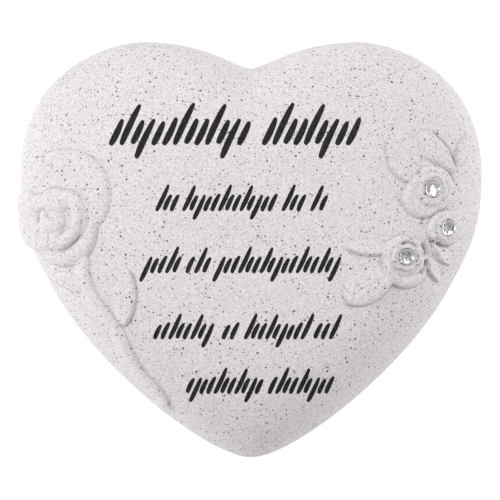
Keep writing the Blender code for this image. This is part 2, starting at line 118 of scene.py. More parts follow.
def half_outline():
    """Right half of the heart's outline, from the cleft down to the tip."""
    top = STONE_LENGTH / 2
    wide = STONE_WIDTH / 2
    flank = Vector(FLANK_POINT)
    along = Vector((math.cos(FLANK_DIRECTION), math.sin(FLANK_DIRECTION)))
    spans = (
        ((0, CLEFT_Y), (CLEFT_ROUNDING, CLEFT_Y), (LOBE_TOP_X - LOBE_INNER_HANDLE, top), (LOBE_TOP_X, top)),
        ((LOBE_TOP_X, top), (LOBE_TOP_X + LOBE_OUTER_HANDLE, top),
         (wide, WIDEST_Y + SHOULDER_HANDLE), (wide, WIDEST_Y)),
        ((wide, WIDEST_Y), (wide, WIDEST_Y - HIP_HANDLE), flank - along * FLANK_UPPER_HANDLE, flank),
        (flank, flank + along * FLANK_LOWER_HANDLE, (TIP_ROUNDING, -top), (0, -top)),
    )
    points = []
    for start, leave, arrive, end in spans:
        curve = interpolate_bezier(Vector(start), Vector(leave), Vector(arrive), Vector(end), OUTLINE_STEPS)
        points.extend(curve if not points else curve[1:])
    return np.array([(point.x, point.y) for point in points])


outline_points = half_outline()
outline_angles = np.arctan2(outline_points[:, 1], outline_points[:, 0])[::-1]
outline_reaches = np.hypot(outline_points[:, 0], outline_points[:, 1])[::-1]


def outline_reach(angle):
    """Distance from the centre to the outline, the left half mirroring the right one."""
    folded = np.arctan2(np.sin(angle), np.abs(np.cos(angle)))
    return np.interp(folded, outline_angles, outline_reaches)


print("outline points on the right half:", len(outline_points))

# %% [markdown]
# ## The dome
# Seen from the side the stone is a pillow: nearly flat on top, rolling over more and more steeply towards
# the edge. A superellipse gives that profile from two numbers. Round the crown its level lines are oval,
# and towards the edge they take on the heart's shape, so the valley below the cleft fades out before it
# reaches the writing.

# %% Dome
STONE_THICKNESS = 55 * MM
WIDEST_HEIGHT = 12 * MM
DOME_FALL = 2.8
DOME_EDGE = 2.1
CROWN_WIDTH = 200 * MM
CROWN_LENGTH = 184 * MM
HEART_SHARE = 3.0
SLOPE_STEP = 0.5 * MM


def dome_height(x, y):
    """Height of the smooth face: oval round the crown, heart-shaped at the edge."""
    distance = np.hypot(x, y)
    angle = np.arctan2(y, x)
    heart = outline_reach(angle)
    crown = 1 / np.hypot(np.cos(angle) * 2 / CROWN_WIDTH, np.sin(angle) * 2 / CROWN_LENGTH)
    share = np.clip(distance / heart, 0, 1)
    reach = crown + (heart - crown) * share ** HEART_SHARE
    fall = np.clip(distance / reach, 0, 1) ** DOME_FALL
    return WIDEST_HEIGHT + (STONE_THICKNESS - WIDEST_HEIGHT) * (1 - fall) ** (1 / DOME_EDGE)


def dome_normal(x, y):
    step = SLOPE_STEP
    slope_x = (dome_height(x + step, y) - dome_height(x - step, y)) / (2 * step)
    slope_y = (dome_height(x, y + step) - dome_height(x, y - step)) / (2 * step)
    return Vector((-slope_x, -slope_y, 1)).normalized()


for label, x in (("crown", 0), ("halfway", 50 * MM), ("near the edge", 90 * MM)):
    print("dome", label, round(1000 * float(dome_height(x, 0)), 1), "mm high")

# %% [markdown]
# ## One petal
# The carving is low relief, so each petal can be a height above the dome. A petal is a fan round the rose's
# centre: hollow near the heart, rising to a rolled rim, then falling steeply. Sculpting by hand would be
# freer, but heights from a formula stay smooth at any mesh density, and laying one petal over another is
# just taking the higher one.

# %% Petal
FAN_SQUARENESS = 3.2
FAN_ROUNDING = 0.42
FAN_HOLLOW = 0.55
FAN_HOLLOW_END = 0.40
FAN_RIM = 0.72
ROLL_FULLNESS = 2.2


def petal_height(along, height, hollow, hollow_end, rim):
    """Height on the way from a petal's middle to its edge: hollow, rising to the rim, then rolling over."""
    rise = hollow + (1 - hollow) * ease(hollow_end, rim, along)
    roll = np.clip((along - rim) / (1 - rim), 0, 1)
    return np.where(along < 1, height * rise * np.sqrt(1 - roll ** ROLL_FULLNESS), 0)


def fan_petal(distance, angle, direction, spread, reach, height):
    """Petal that fans out from its rose's heart."""
    turn = (angle - math.radians(direction) + math.pi) % (2 * math.pi) - math.pi
    side = np.clip(np.abs(turn) / math.radians(spread), 0, 1)
    edge = reach * (1 - side ** FAN_SQUARENESS) ** FAN_ROUNDING
    return petal_height(distance / np.maximum(edge, 1e-6), height, FAN_HOLLOW, FAN_HOLLOW_END, FAN_RIM)


for along in (0.2, FAN_RIM, 0.95):
    share = float(petal_height(np.array([along]), 1, FAN_HOLLOW, FAN_HOLLOW_END, FAN_RIM)[0])
    print("petal,", along, "of the way to its edge:", round(share, 2), "of its height")

# %% [markdown]
# ## The large rose
# The rose at the left edge is seen half from the side, so its petals don't fan out evenly. Overlapping
# round petals suit it better: a wide low one at the back, a bowl below, a tall crescent at the right, a
# full one at the left edge and the bud on top. Where a higher petal covers a lower one, only a crescent of
# the lower one is left.

# %% Large rose
BIG_ROSE_CENTRE = (-85.2 * MM, 13.2 * MM)
BIG_ROSE_REACH = 31 * MM
BIG_ROSE_HEIGHT = 5.2 * MM
OVAL_ROUNDNESS = 2.1
OVAL_HOLLOW_END = 0.35
# Middle across and up, half length and half width as shares of the reach, turn in degrees,
# height as a share of the rose's own, hollow, and where the rim starts to roll
BIG_ROSE_PETALS = (
    (0.154, 0.333, 0.638, 0.638, 0, 0.37, 0.55, 0.78),
    (0.138, -0.125, 0.471, 0.548, 0, 0.49, 0.52, 0.74),
    (0.144, -0.022, 0.439, 0.304, 72, 0.80, 0.60, 0.68),
    (-0.362, 0.208, 0.167, 0.208, 0, 0.69, 1.00, 0.40),
    (-0.154, -0.054, 0.362, 0.417, 0, 0.75, 0.86, 0.62),
    (0.054, 0.244, 0.237, 0.189, -10, 0.85, 1.00, 0.30),
    (0.042, -0.054, 0.167, 0.167, 0, 0.94, 1.00, 0.25),
)


def oval_petal(across, up, length, width, turn, height, hollow, rim):
    """Petal seen from above; with a hollow of 1 it is a smooth bud."""
    turned = math.radians(turn)
    long_way = np.abs(across * math.cos(turned) + up * math.sin(turned)) / length
    short_way = np.abs(up * math.cos(turned) - across * math.sin(turned)) / width
    along = (long_way ** OVAL_ROUNDNESS + short_way ** OVAL_ROUNDNESS) ** (1 / OVAL_ROUNDNESS)
    return petal_height(along, height, hollow, OVAL_HOLLOW_END, rim)


def big_rose(x, y):
    across = (x - BIG_ROSE_CENTRE[0]) / BIG_ROSE_REACH
    up = (y - BIG_ROSE_CENTRE[1]) / BIG_ROSE_REACH
    height = np.zeros_like(x)
    for right, above, length, width, turn, lift, hollow, rim in BIG_ROSE_PETALS:
        one = oval_petal(across - right, up - above, length, width, turn, lift * BIG_ROSE_HEIGHT, hollow, rim)
        height = np.maximum(height, one)
    return height


print("large rose of", len(BIG_ROSE_PETALS), "petals")

# %% [markdown]
# ## The small roses
# Each small rose is two rings of five petals, the inner ring higher and turned by half a petal, round a
# flat heart that takes the crystal's seat. A little sine on the direction and reach keeps the petals from
# looking stamped.

# %% Small roses
CRYSTAL_RADIUS = 3.5 * MM
SEAT_CLEARANCE = 0.3 * MM
SEAT_RADIUS = CRYSTAL_RADIUS + SEAT_CLEARANCE
SEAT_BRIM = 0.5 * MM
# Name, centre, reach, height and turn in degrees of each small rose
SMALL_ROSES = (
    ("upper", (77.3 * MM, 25.8 * MM), 10.6 * MM, 3.6 * MM, 20),
    ("middle", (84.3 * MM, 9.4 * MM), 8.1 * MM, 3.2 * MM, 60),
    ("lower", (66.1 * MM, -3.0 * MM), 9.8 * MM, 4.0 * MM, 250),
)
# Middle, half length, half width, turn in degrees and height of each petal that stands out from its rose
LOOSE_PETALS = (
    ((74.2 * MM, 22.8 * MM), 9.4 * MM, 9.0 * MM, 40, 2.2 * MM),
    ((66.2 * MM, -7.4 * MM), 9.9 * MM, 9.2 * MM, -20, 2.7 * MM),
)
SMALL_ROSE_PETALS = 5
# Reach and height as shares of the rose's own, turn in petals, half spread of a petal in degrees
SMALL_ROSE_RINGS = (
    (1.00, 0.62, 0.0, 62),
    (0.70, 1.00, 0.5, 60),
)
# How far the petals stray from an even ring, in degrees and as a share of the reach
TURN_STRAY = 11
TURN_STRAY_STEP = 3.1
REACH_STRAY = 0.05
REACH_STRAY_STEP = 2.3
ROSE_HEART_RADIUS = SEAT_RADIUS + SEAT_BRIM
ROSE_HEART_EDGE = 0.9 * MM
ROSE_HEART_SHARE = 0.80


def small_rose(x, y, centre, reach, height, turn):
    across = x - centre[0]
    up = y - centre[1]
    distance = np.hypot(across, up)
    angle = np.arctan2(up, across)
    total = np.zeros_like(x)
    for size, lift, shift, spread in SMALL_ROSE_RINGS:
        for index in range(SMALL_ROSE_PETALS):
            stray = TURN_STRAY * math.sin(TURN_STRAY_STEP * index + turn)
            direction = turn + 360 * (index + shift) / SMALL_ROSE_PETALS + stray
            edge = reach * size * (1 + REACH_STRAY * math.sin(REACH_STRAY_STEP * index + turn))
            total = np.maximum(total, fan_petal(distance, angle, direction, spread, edge, height * lift))
    heart = ease(ROSE_HEART_RADIUS + ROSE_HEART_EDGE, ROSE_HEART_RADIUS, distance)
    return total + (height * ROSE_HEART_SHARE - total) * heart


print("small roses:", ", ".join(name for name, *_ in SMALL_ROSES))

# %% [markdown]
# ## Leaves and stem
# A leaf is a pointed oval from its base to its tip, with a groove along the midrib and slanting side veins.
# Most leaves tilt: one edge stands up and casts a shadow, and the other melts into the stone. The stem
# follows a smooth curve, falls steeply on its right, melts into the stone on its other side, and thins
# towards the cut end.

# %% Leaves and stem
# Base, tip, width, height, bend as a share of the length, where the leaf is broadest, how pointed it is, and
# how much it tilts: from -1, where its right edge stands up, to 1, where its left edge does
LEAVES = (
    ((-56.0 * MM, -34.2 * MM), (-53.8 * MM, -7.9 * MM), 10.8 * MM, 2.7 * MM, 0.00, 0.50, 0.60, -0.8),
    ((-71.4 * MM, -17.8 * MM), (-88.2 * MM, -12.6 * MM), 7.5 * MM, 1.3 * MM, -0.08, 0.40, 0.70, 0.0),
    ((88.4 * MM, 31.8 * MM), (74.2 * MM, 52.0 * MM), 9.0 * MM, 3.0 * MM, 0.00, 0.50, 0.60, -0.7),
    ((89.8 * MM, 36.0 * MM), (94.8 * MM, 50.5 * MM), 6.0 * MM, 1.6 * MM, 0.00, 0.40, 0.70, 0.5),
    ((70.4 * MM, 29.2 * MM), (58.9 * MM, 48.0 * MM), 9.6 * MM, 2.7 * MM, 0.04, 0.42, 0.60, 0.8),
    ((78.6 * MM, 1.6 * MM), (87.0 * MM, -7.2 * MM), 5.5 * MM, 2.0 * MM, 0.00, 0.40, 0.75, -0.7),
    ((76.2 * MM, -3.0 * MM), (82.2 * MM, -14.4 * MM), 5.4 * MM, 2.2 * MM, 0.00, 0.50, 0.65, -0.7),
    ((63.0 * MM, -8.6 * MM), (39.9 * MM, -21.4 * MM), 14.5 * MM, 3.0 * MM, 0.00, 0.58, 0.48, 0.7),
    ((60.6 * MM, 0.6 * MM), (41.0 * MM, 1.3 * MM), 7.4 * MM, 2.4 * MM, 0.00, 0.50, 0.60, 0.8),
)
STEM_POINTS = (
    (-72.3 * MM, -4.5 * MM),
    (-71.9 * MM, -10.9 * MM),
    (-70.2 * MM, -17.8 * MM),
    (-66.3 * MM, -23.8 * MM),
    (-61.1 * MM, -29.8 * MM),
    (-57.2 * MM, -35.4 * MM),
    (-54.7 * MM, -41.9 * MM),
    (-51.2 * MM, -48.8 * MM),
    (-46.5 * MM, -55.7 * MM),
    (-41.7 * MM, -60.8 * MM),
    (-37.4 * MM, -66.4 * MM),
)
STEM_RADIUS = 2.3 * MM
STEM_END_RADIUS = 1.6 * MM
STEM_BLEND = 6.5 * MM
STEM_HEIGHT = 1.9 * MM
ROUTE_SPAN_POINTS = 4
LEAF_FOOT = 0.12
LEAF_END = 0.94
LEAF_FULLNESS = 4
LEAF_VEINS = 5
VEIN_SHARE = 0.06
VEIN_SLANT = 0.7
VEIN_START = 0.1
VEIN_FULL = 0.4
RIB_WIDTH = 0.5 * MM
RIB_SHARE = 0.13


def leaf(x, y, base, tip, width, height, bend, broadest, pointed, tilt):
    length = math.hypot(tip[0] - base[0], tip[1] - base[1])
    run_x = (tip[0] - base[0]) / length
    run_y = (tip[1] - base[1]) / length
    along = ((x - base[0]) * run_x + (y - base[1]) * run_y) / length
    inside = np.clip(along, 0, 1)
    across = (y - base[1]) * run_x - (x - base[0]) * run_y - bend * length * 4 * inside * (1 - inside)
    swell = math.log(0.5) / math.log(broadest)
    half = np.maximum(width / 2 * np.sin(math.pi * inside ** swell) ** pointed, 1e-6)
    side = np.clip(np.abs(across) / half, 0, 1)
    lean = (1 + tilt * np.sign(across) * side) / (1 + abs(tilt))
    body = np.sqrt(1 - side ** LEAF_FULLNESS) * lean * ease(0, LEAF_FOOT, along) * ease(1, LEAF_END, along)
    wave = np.sin(2 * math.pi * LEAF_VEINS * (inside - VEIN_SLANT * side * half / length))
    veins = 1 - VEIN_SHARE * (1 + wave) * ease(VEIN_START, VEIN_FULL, side)
    rib = 1 - RIB_SHARE * np.exp(-(across / RIB_WIDTH) ** 2)
    return height * body * veins * rib


def smooth_route(corners):
    """Smooth line through the given points."""
    points = [Vector(corner) for corner in corners]
    line = []
    for index in range(len(points) - 1):
        before = points[max(index - 1, 0)]
        start = points[index]
        end = points[index + 1]
        after = points[min(index + 2, len(points) - 1)]
        leave = start + (end - before) / 6
        arrive = end - (after - start) / 6
        curve = interpolate_bezier(start, leave, arrive, end, ROUTE_SPAN_POINTS)
        line.extend(curve if not line else curve[1:])
    return line


def along_route(x, y, route):
    """Distance to a line, how far along it the nearest point is, and which side of it the place is on."""
    nearest = np.full_like(x, 1.0)
    reached = np.zeros_like(x)
    left = np.zeros(x.shape, bool)
    last = len(route) - 1
    for index in range(last):
        start = route[index]
        run = route[index + 1] - start
        share = np.clip(((x - start.x) * run.x + (y - start.y) * run.y) / run.length_squared, 0, 1)
        distance = np.hypot(x - start.x - share * run.x, y - start.y - share * run.y)
        closer = distance < nearest
        nearest = np.where(closer, distance, nearest)
        reached = np.where(closer, (index + share) / last, reached)
        left = np.where(closer, (x - start.x) * run.y < (y - start.y) * run.x, left)
    return nearest, reached, left


stem_route = smooth_route(STEM_POINTS)


def stem(x, y):
    nearest, reached, steep_side = along_route(x, y, stem_route)
    radius = STEM_RADIUS + (STEM_END_RADIUS - STEM_RADIUS) * reached
    steep = np.sqrt(1 - np.clip(nearest / radius, 0, 1) ** ROLL_FULLNESS)
    gentle = 1 - ease(0, STEM_BLEND, nearest)
    return STEM_HEIGHT * radius / STEM_RADIUS * np.where(steep_side, steep, gentle)


print(len(LEAVES), "leaves and a stem of", len(stem_route), "points")

# %% [markdown]
# ## All the carving together
# The highest of all the forms wins at every point, as a carver would leave it. A few narrow grooves are
# taken away last, where petals curl or lie close together. A cast stone has no knife-sharp creases, so the
# height is averaged over a small ring of points, which also keeps the mesh from showing steps.

# %% Carving
LOOSE_PETAL_HOLLOW = 0.6
LOOSE_PETAL_RIM = 0.7
SOFTENING = 0.28 * MM
SOFTENING_POINTS = 4
SOFTENING_WEIGHT = 2
# Depth, half width and route of each groove: the curl of the large bud and the crease beside its crescent
# petal, the gaps round the small roses, then the shaded edges of the upper spray
GROOVES = (
    (1.0 * MM, 0.75 * MM,
     ((-90.6 * MM, 11.9 * MM), (-90.4 * MM, 15.3 * MM), (-88.9 * MM, 17.4 * MM), (-87.2 * MM, 16.6 * MM),
      (-86.1 * MM, 14.2 * MM), (-84.4 * MM, 12.9 * MM))),
    (0.9 * MM, 0.75 * MM,
     ((-70.2 * MM, 16.2 * MM), (-69.7 * MM, 12.3 * MM), (-71.0 * MM, 8.0 * MM), (-75.3 * MM, 3.3 * MM),
      (-80.9 * MM, -1.0 * MM))),
    (3.0 * MM, 0.95 * MM, ((74.0 * MM, 1.6 * MM), (75.0 * MM, -0.4 * MM), (75.0 * MM, -2.4 * MM))),
    (3.0 * MM, 0.95 * MM, ((75.2 * MM, -5.2 * MM), (74.9 * MM, -7.4 * MM), (73.2 * MM, -9.8 * MM))),
    (2.0 * MM, 0.80 * MM, ((65.4 * MM, 2.6 * MM), (68.0 * MM, 2.8 * MM), (70.0 * MM, 1.4 * MM))),
    (1.2 * MM, 0.75 * MM, ((78.0 * MM, 3.3 * MM), (78.9 * MM, -0.2 * MM), (80.6 * MM, -3.2 * MM))),
    (1.2 * MM, 0.75 * MM, ((79.7 * MM, 4.6 * MM), (81.9 * MM, 1.6 * MM), (85.7 * MM, 0.7 * MM))),
    (0.9 * MM, 0.75 * MM, ((74.2 * MM, 13.1 * MM), (74.0 * MM, 8.9 * MM))),
    (1.6 * MM, 0.80 * MM,
     ((79.2 * MM, 50.4 * MM), (84.9 * MM, 44.6 * MM), (86.9 * MM, 41.0 * MM), (88.2 * MM, 36.7 * MM))),
    (1.1 * MM, 0.75 * MM,
     ((74.2 * MM, 40.8 * MM), (78.9 * MM, 37.9 * MM), (82.2 * MM, 36.4 * MM), (86.2 * MM, 32.9 * MM),
      (87.9 * MM, 29.2 * MM))),
)
groove_routes = [(depth, half_width, smooth_route(corners)) for depth, half_width, corners in GROOVES]


def sharp_carving(x, y):
    height = stem(x, y)
    for base, tip, width, lift, bend, broadest, pointed, tilt in LEAVES:
        height = np.maximum(height, leaf(x, y, base, tip, width, lift, bend, broadest, pointed, tilt))
    height = np.maximum(height, big_rose(x, y))
    for centre, length, width, turn, lift in LOOSE_PETALS:
        one = oval_petal(x - centre[0], y - centre[1], length, width, turn, lift,
                         LOOSE_PETAL_HOLLOW, LOOSE_PETAL_RIM)
        height = np.maximum(height, one)
    for _, centre, reach, lift, turn in SMALL_ROSES:
        rose = small_rose(x, y, centre, reach, lift, turn)
        inside = np.hypot(x - centre[0], y - centre[1]) < ROSE_HEART_RADIUS + ROSE_HEART_EDGE
        height = np.where(inside, rose, np.maximum(height, rose))
    for depth, half_width, route in groove_routes:
        height = height - depth * np.exp(-(along_route(x, y, route)[0] / half_width) ** 2)
    return height


def ring_mean(x, y, radius, count):
    """Mean height of the carving on a ring round each point."""
    total = np.zeros_like(x)
    for index in range(count):
        angle = 2 * math.pi * index / count
        total += sharp_carving(x + radius * math.cos(angle), y + radius * math.sin(angle))
    return total / count


def soft_carving(x, y):
    around = ring_mean(x, y, SOFTENING, SOFTENING_POINTS)
    return (sharp_carving(x, y) + SOFTENING_WEIGHT * around) / (1 + SOFTENING_WEIGHT)


print("carving with", len(GROOVES), "grooves")

# %% [markdown]
# ## The stone's mesh
# A square grid is spread over the heart so that it has neither a pole nor thin slivers, and its rings lie
# closer together towards the edge, where the dome bends most. Cells under the carving are subdivided. The
# square is bent into the heart only afterwards, so that new points land on the curves and not on straight
# chords.

# %% Spreading the grid
FACE_CELLS = 96
EDGE_CROWDING = 1.9
CARVED_CUTS = 3
CARVED_MARGIN = 1.6 * MM


def spread_square(u, v):
    """Spreads the square from -1 to 1 over the heart, its rings closer together towards the outline."""
    share = np.maximum(np.abs(u), np.abs(v))
    safe = np.maximum(share, 1e-9)
    beside = np.where(u < 0, math.pi, 0) + math.pi / 4 * v / np.where(u < 0, -safe, safe)
    above = np.where(v < 0, -math.pi / 2, math.pi / 2) - math.pi / 4 * u / np.where(v < 0, -safe, safe)
    angle = np.where(np.abs(u) > np.abs(v), beside, above)
    distance = (1 - (1 - np.clip(share, 0, 1)) ** EDGE_CROWDING) * outline_reach(angle)
    return distance * np.cos(angle), distance * np.sin(angle)


def near_carving(x, y):
    near = np.zeros(x.shape, bool)
    steps = (-CARVED_MARGIN, 0, CARVED_MARGIN)
    for right in steps:
        for up in steps:
            near |= sharp_carving(x + right, y + up) > 0
    return near


stone_mesh = bmesh.new()
bmesh.ops.create_grid(stone_mesh, x_segments=FACE_CELLS, y_segments=FACE_CELLS, size=1)
middles = np.array([face.calc_center_median() for face in stone_mesh.faces])
for face, wanted in zip(stone_mesh.faces, near_carving(*spread_square(middles[:, 0], middles[:, 1]))):
    face.select_set(bool(wanted))
carved_edges = [edge for edge in stone_mesh.edges if edge.select]
bmesh.ops.subdivide_edges(stone_mesh, edges=carved_edges, cuts=CARVED_CUTS, use_grid_fill=True)
square = corners_of(stone_mesh)
across, up = spread_square(square[:, 0], square[:, 1])
for vert, x, y, z in zip(stone_mesh.verts, across, up, dome_height(across, up)):
    vert.co = (x, y, z)
print("face of the stone:", len(stone_mesh.faces), "faces")

# %% [markdown]
# ## The belly and the flat back
# Below its widest line the stone rolls in to the flat back that it lies on. The rim is extruded down in a
# few rings, each pulled in a little more, and the last ring is closed by one face.

# %% Belly
BACK_INSET = 5.5 * MM
BELLY_ROLL = 2.63
BELLY_RINGS = 9

rim = [edge for edge in stone_mesh.edges if edge.is_boundary]
for ring in range(1, BELLY_RINGS + 1):
    height = WIDEST_HEIGHT * (1 - ring / BELLY_RINGS)
    inset = BACK_INSET * (ring / BELLY_RINGS) ** BELLY_ROLL
    rim = edges_of(bmesh.ops.extrude_edge_only(stone_mesh, edges=rim))
    for vert in {vert for edge in rim for vert in edge.verts}:
        angle = math.atan2(vert.co.y, vert.co.x)
        distance = float(outline_reach(angle)) - inset
        vert.co = (distance * math.cos(angle), distance * math.sin(angle), height)
bmesh.ops.contextual_create(stone_mesh, geom=rim)
bmesh.ops.recalc_face_normals(stone_mesh, faces=stone_mesh.faces)
print("stone closed with", len(stone_mesh.faces), "faces")

# %% [markdown]
# ## Raising the carving
# Every point is pushed out along the surface's own direction by the carving's height there, so the rose at
# the left edge wraps round the side of the stone. The same step remembers how deep each point lies below
# its surroundings: the stone's material uses that later to paint shade into the creases, darker the deeper
# they lie.

# %% Raising
CARVING_LIFT = 2 * MM
FADE_TOP = 20 * MM
FADE_BOTTOM = 2 * MM
# The painted crease shade is measured against the mean height on a ring of this radius round each point
CREASE_RING = 1.0 * MM
CREASE_POINTS = 8
CREASE_DEPTH = 0.9 * MM
CREASE_LIMIT = 2

stone_mesh.normal_update()
spots = corners_of(stone_mesh)
normals = np.array([vert.normal for vert in stone_mesh.verts])
lifted = spots + normals * CARVING_LIFT
fade = ease(FADE_BOTTOM, FADE_TOP, spots[:, 2])
heights = soft_carving(lifted[:, 0], lifted[:, 1]) * fade
# How far each point lies below its surroundings is kept as the mask for the painted crease shade
surroundings = ring_mean(lifted[:, 0], lifted[:, 1], CREASE_RING, CREASE_POINTS) * fade
painted_crease_shade = np.clip((surroundings - heights) / CREASE_DEPTH, 0, CREASE_LIMIT)
crease_shade_layer = stone_mesh.verts.layers.float.new("crease_shade")
for vert, height, normal, crease_shade in zip(stone_mesh.verts, heights, normals, painted_crease_shade):
    vert.co += Vector(normal) * float(height)
    vert[crease_shade_layer] = float(crease_shade)
print("highest carving", round(1000 * float(heights.max()), 2), "mm")

# %% [markdown]
# ## The cut strokes
# The writing on the real stone is cut in and painted black. Here it becomes rows of separate slanted
# strokes, with the rows, groups and heights of the original. Each stroke is a long rounded bit that is laid
# over the dome and subtracted. The bits are lens shapes from a circle of points, a little fuller at the
# foot, as a brush leaves them.

# %% Stroke bits
STROKE_LEAN = math.radians(25)
STROKE_DEPTH = 0.7 * MM
STROKE_CUTTER_RISE = 1.2 * MM
STROKE_POINTS = 20
STROKE_FLOOR_SIZE = 0.86
STROKE_TOP_SIZE = 1.24
# How rounded a stroke's sides are, its breadth, how much fuller its foot is, and how far it bends
STROKE_ROUNDNESS = 0.50
STROKE_BREADTH = 1.02
STROKE_TAPER = 0.12
STROKE_BEND = 0.22
STROKE_BEND_STEP = 1.7 * MM
# Lower and upper end of each stroke in turn, as shares of the row's stroke height
STROKE_ENDS = (
    (0.0, 1.0), (0.0, 1.55), (0.05, 0.95), (-0.5, 1.0), (0.0, 0.9), (0.0, 1.05), (0.0, 1.6), (0.05, 1.0),
)
# Base line, stroke height, stroke width and pitch of each row,
# then where each group of strokes starts and ends
ROWS = (
    (44.5 * MM, 11.5 * MM, 2.8 * MM, 4.6 * MM, ((-59.8 * MM, -0.4 * MM), (5.6 * MM, 45.9 * MM))),
    (16.3 * MM, 7.2 * MM, 2.0 * MM, 3.05 * MM,
     ((-40.3 * MM, -30.8 * MM), (-28.8 * MM, 10.8 * MM), (13.4 * MM, 23.2 * MM), (25.3 * MM, 32.9 * MM))),
    (-10.1 * MM, 7.2 * MM, 2.0 * MM, 3.05 * MM,
     ((-45.5 * MM, -29.9 * MM), (-27.5 * MM, -16.9 * MM), (-14.3 * MM, 38.0 * MM))),
    (-38.3 * MM, 7.0 * MM, 2.0 * MM, 3.05 * MM,
     ((-41.2 * MM, -16.0 * MM), (-12.1 * MM, -5.2 * MM), (-2.6 * MM, 24.6 * MM), (27.0 * MM, 36.8 * MM))),
    (-61.7 * MM, 7.2 * MM, 2.0 * MM, 3.05 * MM, ((-27.3 * MM, 5.2 * MM), (7.8 * MM, 35.1 * MM))),
)


def strokes():
    """Middle, length and width of every stroke."""
    found = []
    for base, height, width, pitch, groups in ROWS:
        for start, end in groups:
            count = max(2, round((end - start) / pitch))
            for index in range(count):
                low, high = STROKE_ENDS[len(found) % len(STROKE_ENDS)]
                shift = math.tan(STROKE_LEAN) * height * (low + high - 1) / 2
                x = start + (index + 0.5) * (end - start) / count + shift
                y = base + height * (low + high) / 2
                found.append((x, y, height * (high - low) / math.cos(STROKE_LEAN), width))
    return found


def stroke_ring(bm, x, y, length, width, size, level):
    """Closed ring of points round one stroke, at a level below or above the dome."""
    ring = bmesh.ops.create_circle(bm, segments=STROKE_POINTS, radius=1)["verts"]
    for vert in ring:
        along = vert.co.y
        fullness = abs(vert.co.x) ** STROKE_ROUNDNESS * (STROKE_BREADTH - STROKE_TAPER * along)
        bend = STROKE_BEND * (1 - along * along) * math.sin(length / STROKE_BEND_STEP)
        side = math.copysign(fullness, vert.co.x) + bend
        vert.co = (side * size * width / 2, along * size * length / 2, 0)
    place = Matrix.Translation((x, y, 0)) @ Matrix.Rotation(-STROKE_LEAN, 4, "Z")
    bmesh.ops.transform(bm, matrix=place, verts=ring)
    for vert in ring:
        vert.co.z = float(dome_height(vert.co.x, vert.co.y)) + level
    return ring


def close_with_rungs(bm, ring):
    """Fills a ring with one face and splits it across, so that it can bend with the dome."""
    bmesh.ops.contextual_create(bm, geom=ring)
    for step in range(1, STROKE_POINTS // 2):
        bmesh.ops.connect_vert_pair(bm, verts=[ring[step], ring[-step]])


def ring_edges(ring):
    inside = set(ring)
    return list({edge for vert in ring for edge in vert.link_edges if edge.other_vert(vert) in inside})


def loft_stroke(bm, rings):
    for lower, upper in zip(rings[:-1], rings[1:]):
        bmesh.ops.bridge_loops(bm, edges=ring_edges(lower) + ring_edges(upper))
    close_with_rungs(bm, rings[0])
    close_with_rungs(bm, rings[-1])


all_strokes = strokes()
bits = bmesh.new()
for x, y, length, width in all_strokes:
    floor_ring = stroke_ring(bits, x, y, length, width, STROKE_FLOOR_SIZE, -STROKE_DEPTH)
    top_ring = stroke_ring(bits, x, y, length, width, STROKE_TOP_SIZE, STROKE_CUTTER_RISE)
    loft_stroke(bits, (floor_ring, top_ring))
bmesh.ops.recalc_face_normals(bits, faces=bits.faces)
print(len(all_strokes), "strokes; bits have", len(bits.faces), "faces")

# %% [markdown]
# ## The crystals' seats
# A round pocket in each small rose's heart takes a crystal. The pocket points straight out of the dome, so
# a frame of axes is worked out for each rose first; the crystals are placed with the same frames later.

# %% Seats
CRYSTAL_BACK_DEPTH = 1.0 * MM
SEAT_DEPTH = CRYSTAL_BACK_DEPTH + SEAT_CLEARANCE
SEAT_CUTTER_RISE = 2 * MM
SEAT_SIDES = 48


def seat_frame(centre, height):
    """Place and direction of a small rose's heart: Z out of the stone, its origin on the heart's flat."""
    outward = dome_normal(*centre)
    x = centre[0] - CARVING_LIFT * outward.x
    y = centre[1] - CARVING_LIFT * outward.y
    outward = dome_normal(x, y)
    place = Vector((x, y, float(dome_height(x, y)))) + outward * height * ROSE_HEART_SHARE
    return Matrix.Translation(place) @ outward.to_track_quat("Z", "Y").to_matrix().to_4x4()


seat_frames = {name: seat_frame(centre, height) for name, centre, _, height, _ in SMALL_ROSES}
for place in seat_frames.values():
    middle = place @ Matrix.Translation((0, 0, (SEAT_CUTTER_RISE - SEAT_DEPTH) / 2))
    bmesh.ops.create_cone(bits, cap_ends=True, segments=SEAT_SIDES, radius1=SEAT_RADIUS,
                          radius2=SEAT_RADIUS, depth=SEAT_DEPTH + SEAT_CUTTER_RISE, matrix=middle)
print("seats for", ", ".join(seat_frames))

# %% [markdown]
# ## Node groups for the finishes
# The stone has four layers of grains, so speckles are a node group. It scatters round spots with a Voronoi
# texture: each cell's distance gives the spot, and the cell's random colour decides whether the spot is
# there and how large it is. A second group makes the soft blotches that keep the stone, the paint and the
# foil from looking even.

# %% Node groups
WOBBLES_PER_CELL = 1.7
SPOT_LEAST = 0.35
SPOT_VARIATION = 0.8
SPOT_RAGGEDNESS = 0.25


def group_with(name, inputs, outputs):
    group = bpy.data.node_groups.new(name, "ShaderNodeTree")
    for label, kind, value in inputs:
        socket = group.interface.new_socket(name=label, in_out="INPUT", socket_type=kind)
        if value is not None:
            socket.default_value = value
    for label, kind in outputs:
        group.interface.new_socket(name=label, in_out="OUTPUT", socket_type=kind)
    return group, group.nodes.new("NodeGroupInput"), group.nodes.new("NodeGroupOutput")


def wire(tree, source, target):
    tree.links.new(source, target)


def maths(tree, operation, first, second=None, clamp=False):
    node = tree.nodes.new("ShaderNodeMath")
    node.operation = operation
    node.use_clamp = clamp
    for socket, value in zip(node.inputs, (first, second)):
        if isinstance(value, (int, float)):
            socket.default_value = value
        elif value is not None:
            wire(tree, value, socket)
    return node.outputs[0]


